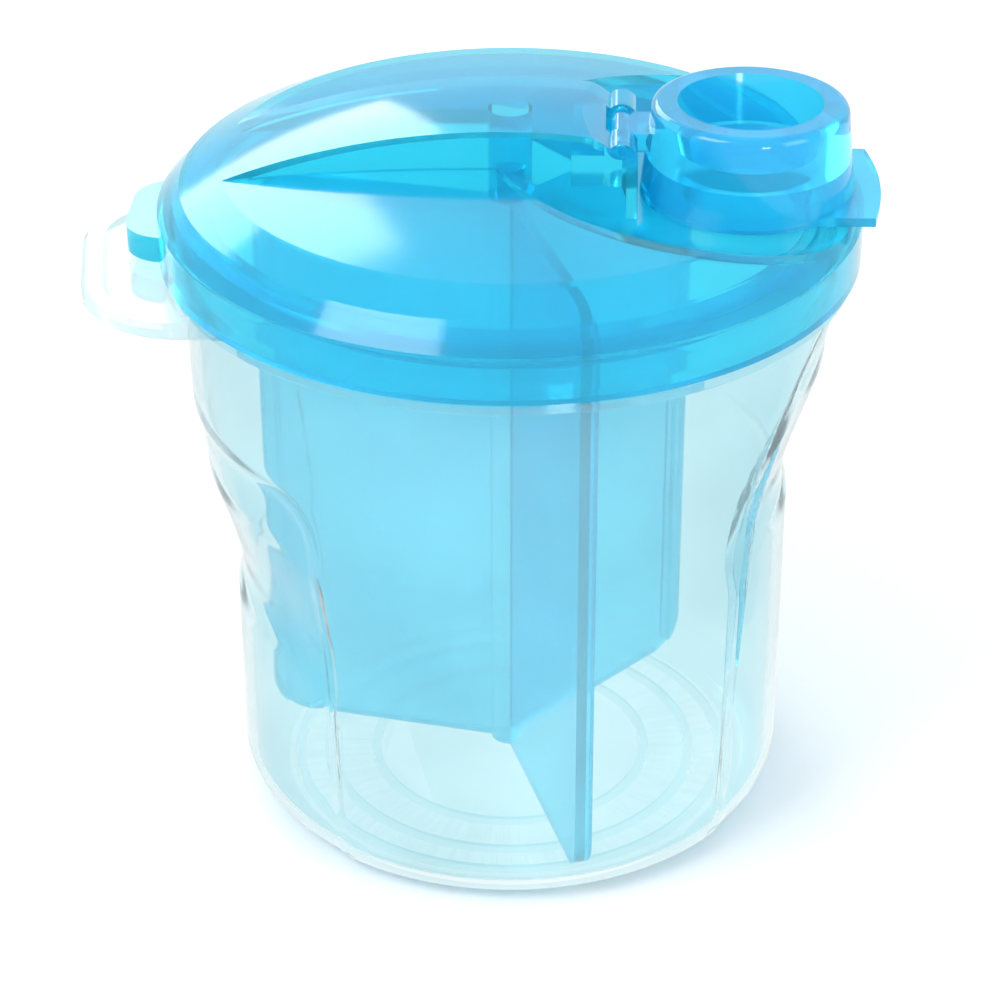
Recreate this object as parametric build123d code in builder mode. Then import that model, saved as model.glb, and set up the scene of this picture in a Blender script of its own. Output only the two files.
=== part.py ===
"""Formula dispenser: a three-compartment powder cup with a lift-out divider,
a turning domed lid and a flip-up cap over the pouring spout.

Frame: millimetres, +Z up, origin at the centre of the cup's underside.
The spout lies on +X and the lid's pry tab on -X.
"""
import os
from math import asin, degrees, sqrt

from build123d import *

os.makedirs("parts", exist_ok=True)

# ---------------------------------------------------------------- cup sizes
body_radius = 46.6          # outside, above the finger grips: it drives all the round pieces
flange_height = 85.4        # underside of the rim flange: it drives all the heights
cup_wall = 1.6              # wall of the moulded cup
floor_thickness = 1.8
body_taper = 5.2            # the foot is this much smaller in radius
base_corner = 6.0           # outside radius between wall and underside
belt_drop = 17.4            # the taper ends this far below the flange
belt_blend = 60.0           # radius of the soft bend at the belt
flange_thickness = 2.0
flange_stand = 2.6          # the flange stands out from the body
neck_step = 0.8             # the neck is this much smaller than the body
neck_height = 5.6           # neck above the flange
neck_wall = 1.7
bead_height = 1.4           # snap bead round the neck
bead_stand = 0.6
bead_lift = 0.4             # above the middle of the neck
cup_turn = 8.0              # lug and grips, turned from the lid's own plane

lug_stand = 11.8            # pry lug, out from the flange
lug_width = 44.0
lug_thickness = 2.6
lug_corner = 15.0
lug_dish = 0.7              # depth of the shallow thumb dish
lug_rim = 3.0               # border left round the dish

ring_groove_depth = 0.7     # moulded rings under the base
ring_groove_width = 1.6
ring_radii = (21.0, 28.0, 33.0)

grip_half_angle = 48.0      # each grip covers twice this round the cup
grip_depth = 5.4            # upright lower pad, in from the body
grip_dip = 0.5              # the scoop runs this far inside the pad
grip_dip_rise = 3.4         # from the pad's top edge up to the deepest line
thumb_scoop_drop = 19.4     # the grip beside the lug starts this far below the flange
thumb_scoop_height = 33.0
finger_scoop_drop = 5.4     # the grip beside the spout starts this far below the flange
finger_scoop_height = 31.0

# ---------------------------------------------------------------- divider sizes
fin_count = 3
fin_turn = -72.0            # azimuth of the first fin
fin_thickness = 1.6
fin_gap = 0.6               # fin to the narrowest line inside the cup
fin_floor_gap = 0.3
fin_corner = 5.5
fin_bead_width = 2.6        # thicker outer edge
fin_bead_depth = 2.2
fin_lid_gap = 0.3
hub_radius = 2.9
spigot_radius = 1.8
spigot_height = 5.0

# ---------------------------------------------------------------- lid sizes
lid_wall = 1.6
skirt_play = 2.6            # skirt's inside clear of the cup's neck
skirt_gap = 0.2             # lid's lower edge above the cup's flange
skirt_rise = 1.4            # the wall turns in this far above the cup's rim
crown_edge_inset = 3.3      # crease between wall and dome, in from the wall
crown_edge_rise = 3.6
dome_rise = 11.0            # from the crease to the top of the dome, on the axis
scoop_edge_inset = 5.7      # the finger scoops stop this far inside the crease
scoop_depth = 5.7           # scoop floor below the dome, if it ran on to the axis
bar_half_width = 10.0
bar_spout_gap = 0.3         # the bar's end clear of the cap's side
bar_fall = 15.0             # length over which the bar's top falls towards the cap
bar_fall_steep = 1.5        # the fall is steepest this far before the bar's end
bar_fall_pull = 0.75        # how late in its length the fall starts in earnest
bar_fall_turn = 0.62        # height, as a part of the whole fall, where it is steepest
bar_end_part = 0.3          # height of the bar's end, as a part of the whole fall
bar_overshoot = 1.0         # the side view runs this far over the dome, which trims it
seat_gap = 0.12             # lid's seat above the cup's rim
plug_gap = 0.2              # lid's plug ring inside the neck
plug_wall = 1.4
plug_depth = 3.2
tab_stand = 4.4             # pry tab, out from the lid's wall
tab_width = 20.0
tab_thickness = 3.8
tab_corner = 6.0
tab_gap = 0.4               # tab above the lid's lower edge
boss_wall = 1.2
spigot_gap = 0.08           # running clearance of the turning bearing

# ---------------------------------------------------------------- spout and cap sizes
plate_rise = 2.8            # flat plate round the spout, above the cup's rim
plate_border = 3.2          # plate left outside the cap
bowl_rise = 9.0             # the plate's surround climbs this far
bowl_reach = 27.0           # over this distance
spout_bore_radius = 7.8
spout_wall = 1.4
spout_rise = 4.4            # spout's tube above the plate
cap_base_radius = 15.2
cap_draft = 1.4             # the cap is this much smaller at its top
cap_edge_inset = 1.3        # the cap's side stands this far inside the lid's wall
cap_gap = 0.2               # cap above the plate
cap_height = 13.4
cap_wall = 1.4
cap_rim = 3.6               # rim left round the dish
cap_dish_draft = 1.6
cap_dish_gap = 0.8          # dish clear of the spout's tube
cap_hollow_draft = 0.5
cap_edge_fillet = 1.3
cap_lip_stand = 2.2         # thumb lip, out from the lid's wall
cap_lip_inset = 3.2         # each end of the lip, in from the cap's side
cap_lip_thickness = 1.3

hinge_back = 2.7            # hinge axis behind the cap's side
hinge_drop = 4.8            # hinge axis below the cap's top
hinge_barrel_radius = 1.7
hinge_barrel_length = 8.0
hinge_arm_part = 0.8        # thickness of the barrel's arm, as a part of the barrel's
hinge_pin_radius = 0.9
hinge_pin_gap = 0.06        # running clearance of the trunnions
hinge_pin_length = 2.4
hinge_side_gap = 0.25
hinge_ear_radius = 2.3
hinge_ear_root = 9.2        # length of the ears' root inside the bar

# ---------------------------------------------------------------- worked out
base_radius = body_radius - body_taper
neck_radius = body_radius - neck_step
flange_radius = body_radius + flange_stand
grip_pad_radius = body_radius - grip_depth
lug_reach = flange_radius + lug_stand
belt_height = flange_height - belt_drop
thumb_scoop_top = flange_height - thumb_scoop_drop
thumb_pad_top = thumb_scoop_top - thumb_scoop_height
finger_scoop_top = flange_height - finger_scoop_drop
finger_pad_top = finger_scoop_top - finger_scoop_height
flange_top = flange_height + flange_thickness
rim_height = flange_top + neck_height
neck_inner_radius = neck_radius - neck_wall

lid_bottom = flange_top + skirt_gap
skirt_inner_radius = neck_radius + skirt_play
lid_radius = skirt_inner_radius + lid_wall
skirt_top = rim_height + skirt_rise
crown_edge_radius = lid_radius - crown_edge_inset
crown_edge_height = skirt_top + crown_edge_rise
crown_height = crown_edge_height + dome_rise
scoop_edge_radius = crown_edge_radius - scoop_edge_inset
scoop_crown = crown_height - scoop_depth
tab_reach = lid_radius + tab_stand
plug_radius = neck_inner_radius - plug_gap

spout_offset = lid_radius - cap_edge_inset - cap_base_radius
spout_radius = spout_bore_radius + spout_wall
plate_height = rim_height + plate_rise
plate_radius = cap_base_radius + plate_border
bar_end = spout_offset - cap_base_radius - bar_spout_gap
bar_fall_start = bar_end - bar_fall
cap_bottom = plate_height + cap_gap
cap_top = cap_bottom + cap_height
cap_top_radius = cap_base_radius - cap_draft
cap_dish_radius = cap_top_radius - cap_rim
cap_dish_floor = plate_height + spout_rise + cap_dish_gap + cap_wall
cap_hollow_radius = cap_base_radius - cap_wall
cap_lip_reach = lid_radius + cap_lip_stand
cap_lip_half_width = cap_base_radius - cap_lip_inset
hinge_offset = spout_offset - cap_base_radius - hinge_back
hinge_height = cap_top - hinge_drop

fin_radius = grip_pad_radius - grip_dip - cup_wall - fin_gap
fin_bottom = floor_thickness + fin_floor_gap
fin_top = plate_height - lid_wall - fin_lid_gap
fin_middle = (fin_bottom + fin_top) / 2
margin = 5.0                # cutting solids run past the surfaces by this much


def dome_radius(edge_radius, edge_height, top):
    """Radius of the sphere through a rim circle and a top point on its axis."""
    sag = top - edge_height
    return (edge_radius**2 + sag**2) / (2 * sag)


# ---------------------------------------------------------------- cup
def cup_body(inset, bottom, top):
    """The cup's outline, inset all round: tapered body with two finger grips."""
    wall_angle = degrees(asin(inset / base_radius))
    thumb_grip = grip_cut(180 + cup_turn, thumb_pad_top, thumb_scoop_top, inset, wall_angle)
    finger_grip = grip_cut(cup_turn, finger_pad_top, finger_scoop_top, inset, wall_angle)
    with BuildPart() as form:
        with BuildSketch(Plane.XZ):
            with BuildLine():
                Polyline(
                    (0, bottom),
                    (base_radius - inset, bottom),
                    (body_radius - inset, belt_height),
                    (body_radius - inset, top),
                    (0, top),
                    close=True,
                )
            make_face()
            corners = vertices().sort_by(Axis.X)[2:]
            foot = corners.sort_by(Axis.Y)[0]
            belt = corners.sort_by(Axis.Y)[1]
            fillet(foot, base_corner - inset)
            fillet(belt, belt_blend)
        revolve(axis=Axis.Z)
    return form.part - thumb_grip - finger_grip


def grip_cut(azimuth, pad_top, scoop_top, inset, wall_angle):
    """What a grip takes off the body: a scoop above an upright pad."""
    half_angle = grip_half_angle + wall_angle
    pad = grip_pad_radius - inset
    dip = pad - grip_dip
    brim = body_radius - inset
    outside = body_radius + margin
    dip_height = pad_top + grip_dip_rise
    with BuildPart() as cut:
        with BuildSketch(Plane.XZ.rotated((0, 0, azimuth - half_angle))):
            with BuildLine():
                Line((outside, -margin), (pad, -margin))
                Line((pad, -margin), (pad, pad_top))
                Bezier(
                    (pad, pad_top),
                    (pad, pad_top + grip_dip_rise / 2),
                    (dip, dip_height - grip_dip_rise / 2),
                    (dip, dip_height),
                )
                Bezier(
                    (dip, dip_height),
                    (dip, dip_height + (scoop_top - dip_height) / 3),
                    (brim, scoop_top - (scoop_top - dip_height) / 2),
                    (brim, scoop_top),
                )
                Line((brim, scoop_top), (outside, scoop_top))
                Line((outside, scoop_top), (outside, -margin))
            make_face()
        revolve(axis=Axis.Z, revolution_arc=2 * half_angle)
    return cut.part


cup_outside = cup_body(0, 0, flange_height + flange_thickness / 2)
cup_inside = cup_body(cup_wall, floor_thickness, flange_height)

with BuildPart() as cup:
    add(cup_outside)
    # flange that the lid's skirt comes down to, then the neck inside the skirt
    with BuildSketch(Plane.XY.offset(flange_height)):
        Circle(flange_radius)
    extrude(amount=flange_thickness)
    with BuildSketch(Plane.XY.offset(flange_height)):
        Circle(neck_radius)
    extrude(amount=rim_height - flange_height)
    with BuildSketch(Plane.XZ):
        with Locations((neck_radius, (flange_top + rim_height) / 2 + bead_lift)):
            Ellipse(bead_stand, bead_height / 2)
    revolve(axis=Axis.Z)
    # pry lug, level with the flange
    lug_base = Plane.XY.offset(flange_top - lug_thickness)
    with BuildSketch(lug_base.rotated((0, 0, 180 + cup_turn))):
        with Locations((lug_reach / 2, 0)):
            Rectangle(lug_reach, lug_width)
        fillet(vertices().group_by(Axis.X)[-1], lug_corner)
        Circle(body_radius - cup_wall / 2, mode=Mode.SUBTRACT)
    extrude(amount=lug_thickness)
    # shallow thumb dish in the lug's top
    dish_reach = lug_reach - lug_rim
    dish_base = Plane.XY.offset(flange_top - lug_dish)
    with BuildSketch(dish_base.rotated((0, 0, 180 + cup_turn))):
        with Locations((dish_reach / 2, 0)):
            Rectangle(dish_reach, lug_width - 2 * lug_rim)
        fillet(vertices().group_by(Axis.X)[-1], lug_corner - lug_rim)
        Circle(flange_radius + lug_rim, mode=Mode.SUBTRACT)
    extrude(amount=lug_dish + skirt_gap, mode=Mode.SUBTRACT)
    # inside of the cup
    add(cup_inside, mode=Mode.SUBTRACT)
    with BuildSketch(Plane.XY.offset(flange_height - cup_wall)):
        Circle(neck_inner_radius)
    extrude(amount=rim_height - flange_height + cup_wall + margin, mode=Mode.SUBTRACT)
    # moulded rings under the base
    for ring_radius in ring_radii:
        with BuildSketch(Plane.XY):
            Circle(ring_radius + ring_groove_width / 2)
            Circle(ring_radius - ring_groove_width / 2, mode=Mode.SUBTRACT)
        extrude(amount=ring_groove_depth, mode=Mode.SUBTRACT)

cup.part.label = "cup"
export_step(cup.part, "parts/cup.step")

# ---------------------------------------------------------------- divider
with BuildPart() as divider:
    with BuildSketch(Plane.XY.offset(fin_bottom)):
        Circle(hub_radius)
    extrude(amount=fin_top - fin_bottom)
    with BuildSketch(Plane.XY.offset(fin_top)):
        Circle(spigot_radius)
    extrude(amount=spigot_height)
    for index in range(fin_count):
        azimuth = fin_turn + index * 360 / fin_count
        fin_plane = Plane.XZ.rotated((0, 0, azimuth))
        with BuildSketch(fin_plane):
            with Locations((fin_radius / 2, fin_middle)):
                Rectangle(fin_radius, fin_top - fin_bottom)
            fillet(vertices().group_by(Axis.X)[-1], fin_corner)
        extrude(amount=fin_thickness / 2, both=True)
        with BuildSketch(fin_plane):
            with Locations((fin_radius / 2, fin_middle)):
                Rectangle(fin_radius, fin_top - fin_bottom)
            fillet(vertices().group_by(Axis.X)[-1], fin_corner)
            with Locations((fin_radius / 2 - fin_bead_depth, fin_middle)):
                Rectangle(fin_radius, fin_top - fin_bottom + margin, mode=Mode.SUBTRACT)
        extrude(amount=fin_bead_width / 2, both=True)

divider.part.label = "divider"
export_step(divider.part, "parts/divider.step")


# ---------------------------------------------------------------- lid
def lid_form(inset):
    """The lid's outline, inset by a wall: a dome with two scoops and a bar."""
    edge_radius = crown_edge_radius - inset / 2
    edge_height = crown_edge_height - inset
    top = crown_height - inset
    plate = plate_height - inset
    scoop_top = scoop_crown - inset
    outer = lid_radius - inset
    form_radius = dome_radius(edge_radius, edge_height, top)
    dome_middle = top - form_radius + sqrt(form_radius**2 - (edge_radius / 2) ** 2)
    outer_radius = dome_radius(crown_edge_radius, crown_edge_height, crown_height)
    scoop_edge = crown_height - outer_radius + sqrt(outer_radius**2 - scoop_edge_radius**2) - inset
    sky = crown_height + margin
    with BuildPart() as dome:
        with BuildSketch(Plane.XZ):
            with BuildLine():
                Polyline((0, top), (0, lid_bottom), (outer, lid_bottom), (outer, skirt_top - inset / 2),
                         (edge_radius, edge_height))
                ThreePointArc((edge_radius, edge_height), (edge_radius / 2, dome_middle), (0, top))
            make_face()
        revolve(axis=Axis.Z)
    # everything under the scoop floors and the plate round the spout
    floor_radius = dome_radius(scoop_edge_radius, scoop_edge, scoop_top)
    floor_reach = lid_radius + margin
    floor_middle = scoop_top - floor_radius + sqrt(floor_radius**2 - (floor_reach / 2) ** 2)
    floor_edge = scoop_top - floor_radius + sqrt(floor_radius**2 - floor_reach**2)
    with BuildPart() as floors:
        with BuildSketch(Plane.XZ):
            with BuildLine():
                Polyline((0, scoop_top), (0, lid_bottom), (floor_reach, lid_bottom),
                         (floor_reach, floor_edge))
                ThreePointArc((floor_reach, floor_edge), (floor_reach / 2, floor_middle), (0, scoop_top))
            make_face()
        revolve(axis=Axis.Z)
    bowl_outer = plate_radius + bowl_reach
    with BuildPart() as bowl:
        with BuildSketch(Plane.XZ.move(Location((spout_offset, 0, 0)))):
            with BuildLine():
                Line((0, sky), (0, plate))
                Line((0, plate), (plate_radius, plate))
                Bezier(
                    (plate_radius, plate),
                    (plate_radius + bowl_reach / 3, plate),
                    (bowl_outer - bowl_reach / 2, plate + bowl_rise),
                    (bowl_outer, plate + bowl_rise),
                )
                Line((bowl_outer, plate + bowl_rise), (bowl_outer, sky))
                Line((bowl_outer, sky), (0, sky))
            make_face()
        revolve(axis=Axis((spout_offset, 0, 0), (0, 0, 1)))
    # the bar's side view, falling to the plate at the spout
    fall = top - plate
    half_width = bar_half_width - inset
    end = bar_end - inset
    end_height = plate + fall * bar_end_part
    bar_sky = top + bar_overshoot
    with BuildPart() as bar:
        with BuildSketch(Plane.XZ):
            with BuildLine():
                Line((-floor_reach, lid_bottom), (-floor_reach, bar_sky))
                Line((-floor_reach, bar_sky), (bar_fall_start, bar_sky))
                Bezier(
                    (bar_fall_start, bar_sky),
                    (bar_fall_start + bar_fall * bar_fall_pull, top),
                    (end - bar_fall_steep, plate + fall * bar_fall_turn),
                    (end, end_height),
                )
                Line((end, end_height), (end, lid_bottom))
                Line((end, lid_bottom), (-floor_reach, lid_bottom))
            make_face()
        extrude(amount=half_width, both=True)
    below = floors.part - bowl.part
    return dome.part & (below + bar.part)


lid_outside = lid_form(0)
lid_inside = lid_form(lid_wall)

with BuildPart() as lid:
    add(lid_outside)
    add(lid_inside, mode=Mode.SUBTRACT)
    # plug ring that reaches inside the cup's neck
    ring_top = plate_height - lid_wall / 2
    with BuildSketch(Plane.XY.offset(rim_height - plug_depth)):
        Circle(plug_radius)
        Circle(plug_radius - plug_wall, mode=Mode.SUBTRACT)
    extrude(amount=ring_top - rim_height + plug_depth)
    # seat on the cup's rim: a web from the ring to the skirt
    with BuildSketch(Plane.XY.offset(rim_height + seat_gap)):
        Circle(skirt_inner_radius + lid_wall / 2)
        Circle(plug_radius - plug_wall, mode=Mode.SUBTRACT)
    extrude(amount=ring_top - rim_height - seat_gap)
    # boss that turns on the divider's spigot
    with BuildSketch(Plane.XY.offset(fin_top + fin_lid_gap)):
        Circle(spigot_radius + spigot_gap + boss_wall)
    extrude(amount=crown_height - lid_wall / 2 - fin_top - fin_lid_gap)
    with BuildSketch(Plane.XY.offset(fin_top)):
        Circle(spigot_radius + spigot_gap)
    extrude(amount=spigot_height + fin_lid_gap, mode=Mode.SUBTRACT)
    # pry tab
    with BuildSketch(Plane.XY.offset(lid_bottom + tab_gap)):
        with Locations((-tab_reach / 2, 0)):
            Rectangle(tab_reach, tab_width)
        fillet(vertices().group_by(Axis.X)[0], tab_corner)
        Circle(lid_radius - lid_wall / 2, mode=Mode.SUBTRACT)
    extrude(amount=tab_thickness)
    # pouring spout
    with BuildSketch(Plane(origin=(spout_offset, 0, plate_height - lid_wall / 2))):
        Circle(spout_radius)
    extrude(amount=spout_rise + lid_wall / 2)
    # ears for the cap's trunnions, either side of a notch in the bar's end
    ear_spread = hinge_barrel_length + 2 * hinge_side_gap
    with BuildSketch(Plane.XZ.offset(-bar_half_width)):
        with Locations((hinge_offset, hinge_height)):
            Circle(hinge_ear_radius)
        with Locations((hinge_offset - hinge_ear_radius, hinge_height - hinge_ear_radius)):
            Rectangle(hinge_ear_root, 2 * hinge_ear_radius)
    extrude(amount=2 * bar_half_width)
    notch_radius = hinge_barrel_radius + 2 * hinge_side_gap
    with BuildSketch(Plane.XZ.offset(-ear_spread / 2)):
        with Locations((hinge_offset, hinge_height)):
            Circle(notch_radius)
        with Locations((hinge_offset + cap_base_radius / 2, hinge_height)):
            Rectangle(cap_base_radius, 2 * notch_radius)
        with Locations((hinge_offset, hinge_height + cap_base_radius / 2)):
            Rectangle(2 * notch_radius, cap_base_radius)
    extrude(amount=ear_spread, mode=Mode.SUBTRACT)
    with BuildSketch(Plane.XZ.offset(-ear_spread / 2 - hinge_pin_length - hinge_side_gap)):
        with Locations((hinge_offset, hinge_height)):
            Circle(hinge_pin_radius + hinge_pin_gap)
    extrude(amount=ear_spread + 2 * hinge_pin_length + 2 * hinge_side_gap, mode=Mode.SUBTRACT)
    # bore of the spout
    with BuildSketch(Plane(origin=(spout_offset, 0, plate_height - lid_wall - margin))):
        Circle(spout_bore_radius)
    extrude(amount=lid_wall + spout_rise + 2 * margin, mode=Mode.SUBTRACT)

lid.part.label = "lid"
export_step(lid.part, "parts/lid.step")

# ---------------------------------------------------------------- spout cap
with BuildPart() as spout_cap:
    with BuildSketch(Plane(origin=(spout_offset, 0, cap_bottom))):
        Circle(cap_base_radius)
    with BuildSketch(Plane(origin=(spout_offset, 0, cap_top))):
        Circle(cap_top_radius)
    loft()
    fillet(edges().filter_by(GeomType.CIRCLE).sort_by(Axis.Z)[-1], cap_edge_fillet)
    # dish in the top
    with BuildSketch(Plane(origin=(spout_offset, 0, cap_top))):
        Circle(cap_dish_radius)
    with BuildSketch(Plane(origin=(spout_offset, 0, cap_dish_floor))):
        Circle(cap_dish_radius - cap_dish_draft)
    loft(mode=Mode.SUBTRACT)
    # hollow underneath, which covers the spout's tube
    with BuildSketch(Plane(origin=(spout_offset, 0, cap_bottom))):
        Circle(cap_hollow_radius)
    with BuildSketch(Plane(origin=(spout_offset, 0, cap_dish_floor - cap_wall))):
        Circle(cap_hollow_radius - cap_hollow_draft)
    loft(mode=Mode.SUBTRACT)
    # thumb lip
    with BuildSketch(Plane(origin=(0, 0, cap_bottom))):
        Circle(cap_lip_reach)
        with Locations((cap_lip_reach / 2 + spout_offset, 0)):
            Rectangle(cap_lip_reach, 2 * cap_lip_half_width, mode=Mode.INTERSECT)
        with Locations((spout_offset, 0)):
            Circle(cap_base_radius - cap_wall / 2, mode=Mode.SUBTRACT)
    extrude(amount=cap_lip_thickness)
    # hinge barrel and its arm, then the trunnions
    with BuildSketch(Plane.XZ.offset(-hinge_barrel_length / 2)):
        with Locations((hinge_offset, hinge_height)):
            Circle(hinge_barrel_radius)
        arm_length = spout_offset - cap_top_radius - hinge_offset + cap_wall / 2
        with Locations((hinge_offset + arm_length / 2, hinge_height)):
            Rectangle(arm_length, 2 * hinge_barrel_radius * hinge_arm_part)
    extrude(amount=hinge_barrel_length)
    with BuildSketch(Plane.XZ.offset(-hinge_barrel_length / 2 - hinge_pin_length)):
        with Locations((hinge_offset, hinge_height)):
            Circle(hinge_pin_radius)
    extrude(amount=hinge_barrel_length + 2 * hinge_pin_length)

spout_cap.part.label = "spout_cap"
export_step(spout_cap.part, "parts/spout_cap.step")
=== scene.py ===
"""Looks of the formula dispenser: its plastics, a finer mesh for the cup, the studio and the camera."""
from math import asin, cos, hypot, pi, radians, sin, sqrt

import bmesh
import bpy
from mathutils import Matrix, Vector


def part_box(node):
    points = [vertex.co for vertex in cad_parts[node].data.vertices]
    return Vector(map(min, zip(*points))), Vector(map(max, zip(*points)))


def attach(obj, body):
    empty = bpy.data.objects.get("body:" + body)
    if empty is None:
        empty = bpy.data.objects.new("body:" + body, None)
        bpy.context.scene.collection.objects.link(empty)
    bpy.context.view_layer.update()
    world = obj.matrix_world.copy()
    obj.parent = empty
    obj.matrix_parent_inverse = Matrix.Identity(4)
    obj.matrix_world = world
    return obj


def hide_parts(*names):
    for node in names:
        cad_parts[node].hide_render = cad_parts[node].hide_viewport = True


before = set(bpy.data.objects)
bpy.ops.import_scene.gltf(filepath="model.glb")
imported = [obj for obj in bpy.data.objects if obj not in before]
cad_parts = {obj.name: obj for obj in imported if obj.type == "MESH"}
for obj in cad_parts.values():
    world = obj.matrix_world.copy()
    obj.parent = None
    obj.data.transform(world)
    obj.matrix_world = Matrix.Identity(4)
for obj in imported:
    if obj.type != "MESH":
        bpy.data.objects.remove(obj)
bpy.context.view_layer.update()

# ---------------------------------------------------------------- plastics (linear colours)
CUP_COLOUR = (0.74, 0.92, 0.95)      # natural polypropylene
FIN_COLOUR = (0.17, 0.78, 0.99)
LID_COLOUR = (0.05, 0.72, 0.93)
CAP_COLOUR = (0.05, 0.68, 0.97)
FLOW_SCALE = 28.0                    # broad flow marks left by moulding
FLOW_RANGE = (0.3, 0.7)              # part of the noise that shows
FINE_SCALE = 900.0                   # fine grain of the surface
FINE_SHARE = 0.03                    # its height beside the flow marks'
RIPPLE_STRENGTH = 0.08
RIPPLE_HEIGHT = 0.0006
MOTTLE = 0.06                        # how far the colour varies, each way
GLOSS_SPREAD = 0.2                   # how far the roughness varies, each way
SKIN_IOR = 1.5

# ---------------------------------------------------------------- cup, in metres
MM = 0.001
CUP_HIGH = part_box("cup")[1]
RIM = CUP_HIGH[2]
FLANGE_TOP = RIM - 5.6 * MM
FLANGE_BOTTOM = FLANGE_TOP - 2.0 * MM
FLANGE = CUP_HIGH[0]                 # the side away from the lug ends at the flange
BODY = FLANGE - 2.6 * MM
NECK = BODY - 0.8 * MM
NECK_INSIDE = NECK - 1.7 * MM
CUP_WALL = 1.6 * MM
CUP_FLOOR = 1.8 * MM
TAPER = 5.2 * MM                     # the foot is this much smaller in radius
BELT = FLANGE_BOTTOM - 17.4 * MM     # the taper ends here
BELT_SOFTNESS = 2.0 * MM
FOOT_CORNER = 6.0 * MM
EDGE = 0.4 * MM                      # softening of moulded edges
BEAD_STAND = 0.6 * MM                # snap bead round the neck
BEAD_HALF_HEIGHT = 0.7 * MM
BEAD_HEIGHT = (FLANGE_TOP + RIM) / 2 + 0.4 * MM   # of its middle
CUP_TURN = radians(8)
RING_RADII = (21 * MM, 28 * MM, 33 * MM)
RING_HALF_WIDTH = 0.8 * MM
RING_FLOOR_HALF_WIDTH = 0.64 * MM
RING_DEPTH = 0.7 * MM

GRIP_HALF_WIDTH = BODY * radians(48)
GRIP_DEPTH = 5.4 * MM                # the pad, in from the body
GRIP_DIP = 0.8 * MM                  # the scoop runs this far inside the pad
GRIP_DIP_RISE = 3.4 * MM
GRIP_STEP = 0.9 * MM                 # least depth inside the grip's outline
GRIP_BAND = 3.0 * MM                 # width of the outline's shoulder
PAD_FALL = 6.0 * MM                  # the pad's top edge falls this far at the grip's sides
PAD_FALL_WIDTH = 14.0 * MM
# each grip: azimuth, pad's top, outline's top, outline's corner radius
GRIPS = (
    (pi + CUP_TURN, FLANGE_BOTTOM - 52.4 * MM, FLANGE_BOTTOM - 19.4 * MM, 9 * MM),
    (CUP_TURN, FLANGE_BOTTOM - 36.4 * MM, FLANGE_BOTTOM - 5.4 * MM, 24 * MM),
)

LUG_REACH = FLANGE + 11.8 * MM
LUG_HALF_WIDTH = 22 * MM
LUG_CORNER = 15 * MM
LUG_THICKNESS = 2.6 * MM
LUG_EDGE = 0.7 * MM
LUG_RIM = 3.0 * MM
LUG_DISH = 0.7 * MM
LUG_ROOT = BODY - 1.0 * MM           # the lug starts inside the cup's wall
LUG_SINK = 0.05 * MM                 # its top is this far below the flange's

SEGMENTS = 270                       # round the cup
BODY_LEVELS = 76                     # up the body
CORNER_LEVELS = 8                    # round each corner
SHELL_CREASE = radians(35)           # edges that turn more than this stay sharp
LUG_CREASE = radians(30)

# ---------------------------------------------------------------- studio
WHITE = (1, 1, 1, 1)
FLOOR_COLOUR = (0.93, 0.94, 0.95, 1)
FLOOR_SIZE = 6.0
SKY_COLOUR = (0.95, 0.97, 1.0, 1)
SKY_STRENGTH = 0.95
# each lamp: name, place, aim, size, watts
LAMPS = (
    ("key", (-0.55, -0.45, 0.75), (0, 0, 0.06), (0.5, 0.5), 5.0),
    ("fill", (0.7, -0.5, 0.45), (0, 0, 0.06), (0.4, 0.6), 2.5),
    ("left_shoulder", (-0.42, 0.80, 0.58), (0, 0, 0.10), (0.55, 0.40), 3.0),
    ("cap_front", (0.25, -0.75, 0.12), (0.033, 0, 0.10), (0.12, 0.25), 1.5),
)

# ---------------------------------------------------------------- camera, at the photograph's viewpoint
CAMERA_DISTANCE = 0.45
CAMERA_AZIMUTH = radians(2)
CAMERA_ELEVATION = radians(30.2)
CAMERA_AIM_HEIGHT = 0.0445
LENS = 107.7                         # mm
SENSOR_WIDTH = 36.0                  # mm
AXIS_SHIFT = -0.0102                 # sets the object's axis a little right of the middle
CLIP_START = 0.01


def node_tree(name):
    """A new material with an empty node tree, and its output node."""
    material = bpy.data.materials.new(name)
    material.use_nodes = True
    tree = material.node_tree
    tree.nodes.clear()
    output = tree.nodes.new("ShaderNodeOutputMaterial")
    return material, tree, output


def add_node(tree, kind, **sockets):
    """A node with its sockets set by name."""
    node = tree.nodes.new(kind)
    for socket, value in sockets.items():
        node.inputs[socket.replace("_", " ")].default_value = value
    return node


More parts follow.
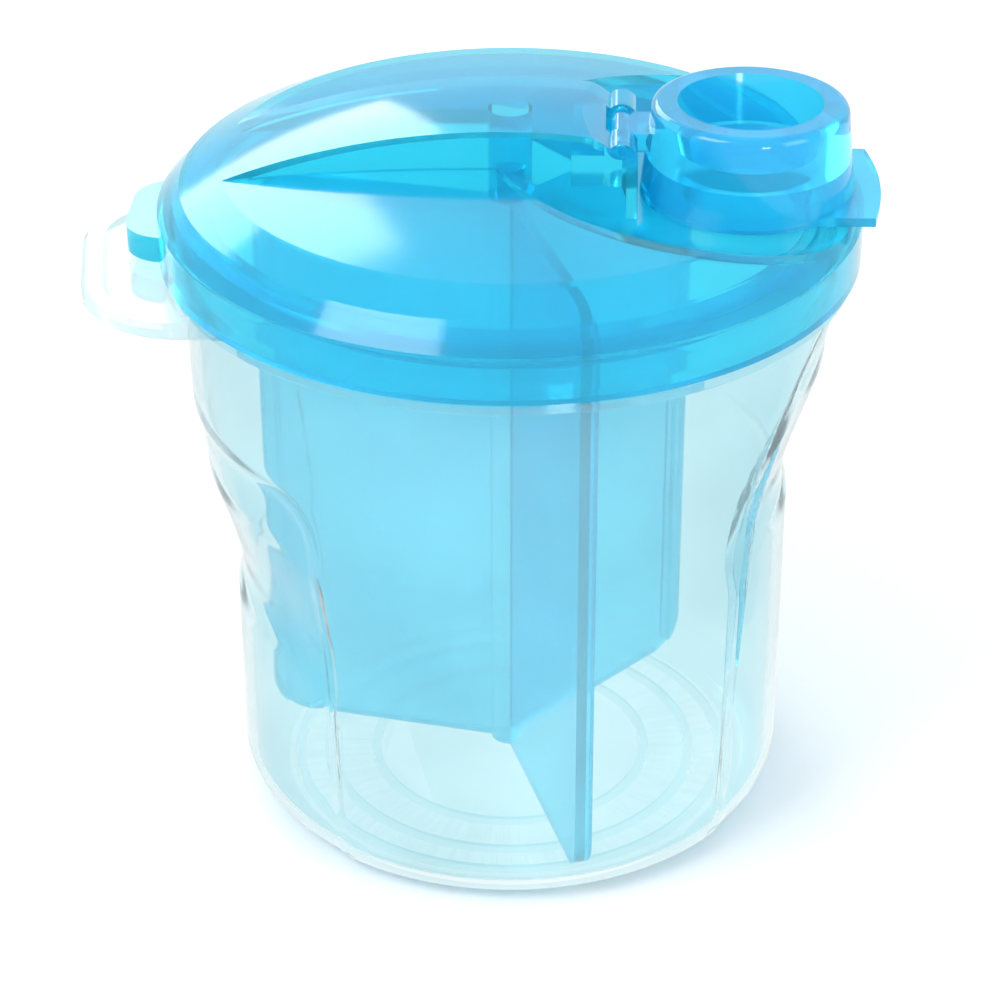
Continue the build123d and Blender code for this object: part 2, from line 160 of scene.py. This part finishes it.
def moulded_plastic(name, colour, clear, roughness, bend, skin=0.7):
    """Translucent moulded plastic, with faint flow marks in its colour, gloss and surface.
    The walls bend light little, and a polished skin carries the reflections."""
    material, tree, output = node_tree(name)
    links = tree.links
    place = tree.nodes.new("ShaderNodeTexCoord")
    flow = add_node(tree, "ShaderNodeTexNoise", Scale=FLOW_SCALE, Detail=3.0, Roughness=0.5)
    fine = add_node(tree, "ShaderNodeTexNoise", Scale=FINE_SCALE, Detail=2.0)
    links.new(place.outputs["Object"], flow.inputs["Vector"])
    links.new(place.outputs["Object"], fine.inputs["Vector"])

    streaks = tree.nodes.new("ShaderNodeValToRGB")
    low, high = streaks.color_ramp.elements
    low.position, high.position = FLOW_RANGE
    low.color = (*[part * (1 - MOTTLE) for part in colour], 1)
    high.color = (*[min(1, part * (1 + MOTTLE)) for part in colour], 1)
    links.new(flow.outputs["Fac"], streaks.inputs["Fac"])

    gloss = add_node(tree, "ShaderNodeMapRange", From_Min=FLOW_RANGE[0], From_Max=FLOW_RANGE[1],
                     To_Min=roughness * (1 - GLOSS_SPREAD), To_Max=roughness * (1 + GLOSS_SPREAD))
    links.new(flow.outputs["Fac"], gloss.inputs["Value"])
    heights = add_node(tree, "ShaderNodeMath")
    heights.operation = "MULTIPLY_ADD"
    heights.inputs[1].default_value = FINE_SHARE
    links.new(fine.outputs["Fac"], heights.inputs[0])
    links.new(flow.outputs["Fac"], heights.inputs[2])
    bump = add_node(tree, "ShaderNodeBump", Strength=RIPPLE_STRENGTH, Distance=RIPPLE_HEIGHT)
    links.new(heights.outputs[0], bump.inputs["Height"])

    plastic = add_node(tree, "ShaderNodeBsdfPrincipled", IOR=bend, Transmission_Weight=clear,
                       Coat_Weight=skin, Coat_Roughness=roughness, Coat_IOR=SKIN_IOR)
    links.new(streaks.outputs["Color"], plastic.inputs["Base Color"])
    links.new(gloss.outputs["Result"], plastic.inputs["Roughness"])
    links.new(bump.outputs["Normal"], plastic.inputs["Normal"])
    links.new(plastic.outputs[0], output.inputs["Surface"])
    return material


def smooth(value):
    """0 below 0, 1 above 1, and an even curve between."""
    value = min(1.0, max(0.0, value))
    return value * value * (3 - 2 * value)


def body_radius(height):
    """Outside radius of the plain body at a height, with its rounded foot."""
    below = BELT - height
    soft = (below + hypot(below, BELT_SOFTNESS)) / 2
    radius = BODY - TAPER * soft / BELT
    if height < FOOT_CORNER:
        radius -= FOOT_CORNER - sqrt(FOOT_CORNER**2 - (FOOT_CORNER - height) ** 2)
    return radius


def grip_inset(azimuth, height):
    """How far the finger grips press the body in at this place."""
    deepest = 0.0
    for centre, pad_top, top, corner in GRIPS:
        turn = (azimuth - centre + pi) % (2 * pi) - pi
        side = abs(turn) * BODY
        past_side = side - (GRIP_HALF_WIDTH - corner)
        past_top = height - (top - corner)
        outside = hypot(max(past_side, 0), max(past_top, 0)) - corner
        outside += min(max(past_side, past_top), 0)
        if outside > 0:
            continue
        pad_edge = pad_top - PAD_FALL * smooth((side - GRIP_HALF_WIDTH) / PAD_FALL_WIDTH + 1)
        dip_height = pad_edge + GRIP_DIP_RISE
        if height < dip_height:
            cut = GRIP_DEPTH + GRIP_DIP * smooth((height - pad_edge) / GRIP_DIP_RISE)
        else:
            cut = (GRIP_DEPTH + GRIP_DIP) * (1 - smooth((height - dip_height) / (top - dip_height)))
        plain = BODY - body_radius(max(height, FOOT_CORNER))
        step = GRIP_STEP * smooth((height - FOOT_CORNER) / (pad_top - FOOT_CORNER))
        inset = max(cut - plain, step)
        deepest = max(deepest, inset * smooth(-outside / GRIP_BAND))
    return deepest


def cup_profile():
    """Points (radius, height, pressed), from the underside up the outside and down the inside.
    The last value is 1 where the finger grips press the wall in."""
    points = []
    for ring in RING_RADII:
        points += [
            (ring - RING_HALF_WIDTH, 0, 0), (ring - RING_FLOOR_HALF_WIDTH, RING_DEPTH, 0),
            (ring + RING_FLOOR_HALF_WIDTH, RING_DEPTH, 0), (ring + RING_HALF_WIDTH, 0, 0),
        ]
    for index in range(CORNER_LEVELS):
        height = FOOT_CORNER * (1 - cos(pi / 2 * index / CORNER_LEVELS))
        points.append((body_radius(height), height, 1))
    for index in range(BODY_LEVELS + 1):
        height = FOOT_CORNER + (FLANGE_BOTTOM - FOOT_CORNER) * index / BODY_LEVELS
        points.append((body_radius(height), height, 1))
    points += [
        (FLANGE - EDGE, FLANGE_BOTTOM, 0), (FLANGE, FLANGE_BOTTOM + EDGE, 0),
        (FLANGE, FLANGE_TOP - EDGE, 0), (FLANGE - EDGE, FLANGE_TOP, 0), (NECK, FLANGE_TOP, 0),
    ]
    for index in range(CORNER_LEVELS + 1):
        angle = pi * index / CORNER_LEVELS
        radius = NECK + BEAD_STAND * sin(angle)
        height = BEAD_HEIGHT - BEAD_HALF_HEIGHT * cos(angle)
        points.append((radius, height, 0))
    points += [
        (NECK, RIM - EDGE, 0), (NECK - EDGE, RIM, 0),
        (NECK_INSIDE + EDGE, RIM, 0), (NECK_INSIDE, RIM - EDGE, 0), (NECK_INSIDE, FLANGE_BOTTOM, 0),
    ]
    inner_corner = FOOT_CORNER - CUP_WALL
    inner_top = FLANGE_BOTTOM - CUP_WALL
    for index in range(BODY_LEVELS + 1):
        height = inner_top - (inner_top - FOOT_CORNER) * index / BODY_LEVELS
        points.append((body_radius(height) - CUP_WALL, height, 1))
    for index in range(1, CORNER_LEVELS + 1):
        angle = pi / 2 * index / CORNER_LEVELS
        height = FOOT_CORNER - (FOOT_CORNER - CUP_FLOOR) * sin(angle)
        radius = body_radius(FOOT_CORNER) - CUP_WALL - inner_corner * (1 - cos(angle))
        points.append((radius, height, 1))
    return points


def skin_loops(mesh, loops):
    """Faces from each loop of points to the next, with the first and last loops closed."""
    count = len(loops[0])
    for lower, upper in zip(loops, loops[1:]):
        for index in range(count):
            after = (index + 1) % count
            mesh.faces.new((lower[index], lower[after], upper[after], upper[index]))
    mesh.faces.new(reversed(loops[0]))
    mesh.faces.new(loops[-1])


def finished_piece(name, mesh, node, body, crease):
    """A piece that stands for a CAD node and rides on a body, with edges above the crease angle sharp."""
    bmesh.ops.recalc_face_normals(mesh, faces=mesh.faces)
    data = bpy.data.meshes.new(name)
    mesh.to_mesh(data)
    mesh.free()
    data.shade_smooth()
    data.set_sharp_from_angle(angle=crease)
    piece = bpy.data.objects.new(name, data)
    bpy.context.collection.objects.link(piece)
    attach(piece, body)
    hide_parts(node)
    return piece


def make_cup():
    """The cup as a closed shell: its profile carried round the axis, with the grips pressed in."""
    mesh = bmesh.new()
    rings = []
    for radius, height, pressed in cup_profile():
        ring = []
        for index in range(SEGMENTS):
            azimuth = 2 * pi * index / SEGMENTS
            reach = radius - pressed * grip_inset(azimuth, height)
            ring.append(mesh.verts.new((reach * cos(azimuth), reach * sin(azimuth), height)))
        rings.append(ring)
    skin_loops(mesh, rings)
    return finished_piece("cup_shell", mesh, "cup", "cup", SHELL_CREASE)


def lug_outline(inset):
    """Points round the lug, this far inside its edge, with the lug on +X.
    The root has to stay nearer the axis than the corners, or the outline crosses itself."""
    reach = LUG_REACH - inset
    half_width = LUG_HALF_WIDTH - inset
    corner = LUG_CORNER - inset
    root = LUG_ROOT + inset
    spread = asin(half_width / root)
    points = []
    for index in range(CORNER_LEVELS * 2 + 1):
        angle = spread - 2 * spread * index / (CORNER_LEVELS * 2)
        points.append((root * cos(angle), root * sin(angle)))
    for side, start in ((-1, -pi / 2), (1, 0)):
        for index in range(CORNER_LEVELS + 1):
            angle = start + pi / 2 * index / CORNER_LEVELS
            x = reach - corner + corner * cos(angle)
            y = side * (half_width - corner) + corner * sin(angle)
            points.append((x, y))
    return points


def make_lug():
    """The cup's pry lug: a rounded plate with soft edges and a shallow thumb dish."""
    top = FLANGE_TOP - LUG_SINK
    bottom = FLANGE_TOP - LUG_THICKNESS
    levels = (
        (LUG_EDGE, bottom), (0, bottom + LUG_EDGE), (0, top - LUG_EDGE), (LUG_EDGE, top),
        (LUG_RIM, top), (LUG_RIM + LUG_DISH, top - LUG_DISH),
    )
    turn = pi + CUP_TURN
    mesh = bmesh.new()
    loops = []
    for inset, height in levels:
        loop = []
        for x, y in lug_outline(inset):
            turned = (x * cos(turn) - y * sin(turn), x * sin(turn) + y * cos(turn), height)
            loop.append(mesh.verts.new(turned))
        loops.append(loop)
    skin_loops(mesh, loops)
    return finished_piece("cup_lug", mesh, "cup", "cup", LUG_CREASE)


def repaint(node, material):
    """Gives a CAD node's object this one material."""
    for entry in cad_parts[node].material_slots:
        entry.link = "OBJECT"
        entry.material = material


def any_ray(tree, *kinds):
    """A value that is 1 for these kinds of ray and 0 for the rest."""
    path = tree.nodes.new("ShaderNodeLightPath")
    found = path.outputs[kinds[0]]
    for kind in kinds[1:]:
        either = add_node(tree, "ShaderNodeMath")
        either.operation = "MAXIMUM"
        tree.links.new(found, either.inputs[0])
        tree.links.new(path.outputs[kind], either.inputs[1])
        found = either.outputs[0]
    return found


def floor_paper():
    """Matte paper that keeps the object's shadow, and looks plain white in gloss and through plastic."""
    material, tree, output = node_tree("floor_paper")
    matte = add_node(tree, "ShaderNodeBsdfDiffuse", Color=FLOOR_COLOUR)
    white = add_node(tree, "ShaderNodeEmission", Color=WHITE, Strength=1.0)
    mix = tree.nodes.new("ShaderNodeMixShader")
    tree.links.new(any_ray(tree, "Is Glossy Ray", "Is Transmission Ray"), mix.inputs["Fac"])
    tree.links.new(matte.outputs[0], mix.inputs[1])
    tree.links.new(white.outputs[0], mix.inputs[2])
    tree.links.new(mix.outputs[0], output.inputs["Surface"])
    return material


def add_floor():
    """A large flat floor at the height that the cup stands on."""
    bpy.ops.mesh.primitive_plane_add(size=FLOOR_SIZE, location=(0, 0, 0))
    floor = bpy.context.object
    floor.name = "floor"
    floor.data.materials.append(floor_paper())


def add_world():
    """White seen by the camera, glossy and see-through rays, and a plain level of light for the rest."""
    world = bpy.data.worlds.new("studio")
    bpy.context.scene.world = world
    world.use_nodes = True
    tree = world.node_tree
    tree.nodes.clear()
    output = tree.nodes.new("ShaderNodeOutputWorld")
    light = add_node(tree, "ShaderNodeBackground", Color=SKY_COLOUR, Strength=SKY_STRENGTH)
    white = add_node(tree, "ShaderNodeBackground", Color=WHITE, Strength=1.0)
    mix = tree.nodes.new("ShaderNodeMixShader")
    seen = any_ray(tree, "Is Camera Ray", "Is Glossy Ray", "Is Transmission Ray")
    tree.links.new(seen, mix.inputs["Fac"])
    tree.links.new(light.outputs[0], mix.inputs[1])
    tree.links.new(white.outputs[0], mix.inputs[2])
    tree.links.new(mix.outputs[0], output.inputs["Surface"])


def add_softbox(name, place, aim, size, watts):
    """A rectangular studio lamp aimed at a point."""
    data = bpy.data.lights.new(name, "AREA")
    data.shape = "RECTANGLE"
    data.size, data.size_y = size
    data.energy = watts
    lamp = bpy.data.objects.new(name, data)
    bpy.context.collection.objects.link(lamp)
    lamp.location = place
    lamp.rotation_euler = (Vector(aim) - Vector(place)).to_track_quat("-Z", "Y").to_euler()


def add_camera():
    """The camera at the photograph's viewpoint."""
    data = bpy.data.cameras.new("camera")
    data.lens = LENS
    data.sensor_width = SENSOR_WIDTH
    data.shift_x = AXIS_SHIFT
    data.clip_start = CLIP_START
    camera = bpy.data.objects.new("camera", data)
    bpy.context.collection.objects.link(camera)
    target = Vector((0, 0, CAMERA_AIM_HEIGHT))
    back = Vector((
        sin(CAMERA_AZIMUTH) * cos(CAMERA_ELEVATION),
        -cos(CAMERA_AZIMUTH) * cos(CAMERA_ELEVATION),
        sin(CAMERA_ELEVATION),
    ))
    camera.location = target + back * CAMERA_DISTANCE
    camera.rotation_euler = (-back).to_track_quat("-Z", "Y").to_euler()
    bpy.context.scene.camera = camera


cup_plastic = moulded_plastic("cup_plastic", CUP_COLOUR, clear=0.93, roughness=0.08, bend=1.045)
fin_plastic = moulded_plastic("divider_plastic", FIN_COLOUR, clear=0.78, roughness=0.12, bend=1.15,
                              skin=0.4)
lid_plastic = moulded_plastic("lid_plastic", LID_COLOUR, clear=0.86, roughness=0.11, bend=1.12)
cap_plastic = moulded_plastic("cap_plastic", CAP_COLOUR, clear=0.76, roughness=0.09, bend=1.15)
repaint("cup", cup_plastic)
repaint("divider", fin_plastic)
repaint("lid", lid_plastic)
repaint("spout_cap", cap_plastic)
for piece in (make_cup(), make_lug()):
    piece.data.materials.append(cup_plastic)

add_floor()
add_world()
for lamp in LAMPS:
    add_softbox(*lamp)
add_camera()

bpy.context.scene.view_settings.view_transform = "Standard"
